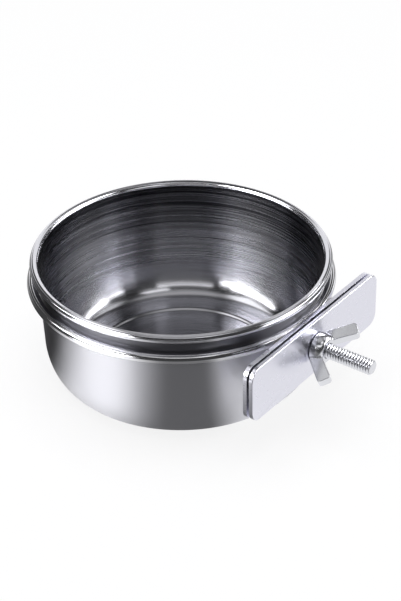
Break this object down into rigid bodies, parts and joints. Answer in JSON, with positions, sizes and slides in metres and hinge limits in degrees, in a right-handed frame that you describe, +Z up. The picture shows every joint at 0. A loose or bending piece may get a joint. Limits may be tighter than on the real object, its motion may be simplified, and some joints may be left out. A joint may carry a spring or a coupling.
{
  "type": "clamp-on food dish",
  "caption": "Round stainless food dish with a rolled rim, held in a wire hoop whose bolted clamp plates close on cage bars by a wing nut.",
  "frame": {"origin": "centre of the dish's flat foot, on the surface that it stands on", "axes": "+X out along the clamp bolt, +Y along the clamp plates, +Z up along the dish's axis"},
  "size_m": [0.1577, 0.1278, 0.0547],
  "materials": {
    "dish_steel": "satin stainless steel, polished round the axis",
    "wire_steel": "bright drawn stainless wire",
    "plate_steel": "polished stainless plate with tumbled edges",
    "plated_bolt": "bright plated steel bolt with a rolled thread",
    "plated_nut": "bright plated forged steel",
    "weld_metal": "rippled weld metal"
  },
  "bodies": {
    "holder": {"holder_ring": "wire_steel", "inner_plate": "plate_steel", "weld_bead_left": "weld_metal", "weld_bead_right": "weld_metal", "carriage_bolt": "plated_bolt"},
    "bowl": {"bowl": "dish_steel"},
    "outer_plate": {"outer_plate": "plate_steel"},
    "wing_nut": {"wing_nut": "plated_nut"}
  },
  "joints": [
    {"name": "bowl_lift", "type": "slide", "parent": "holder", "child": "bowl", "axis": [0, 0, 1], "range_m": [-0.0038, 0.06]},
    {"name": "plate_slide", "type": "slide", "parent": "holder", "child": "outer_plate", "axis": [1, 0, 0], "range_m": [-0.0006, 0.0178]},
    {"name": "nut_spin", "type": "hinge", "parent": "outer_plate", "child": "wing_nut", "pos_m": [0.0677, 0, 0.0349], "axis": [1, 0, 0], "range_deg": [-171, 5046]}
  ],
  "couplings": [
    {"joint": "nut_spin", "follows": "plate_slide", "rad_per_m": 4947.4}
  ]
}
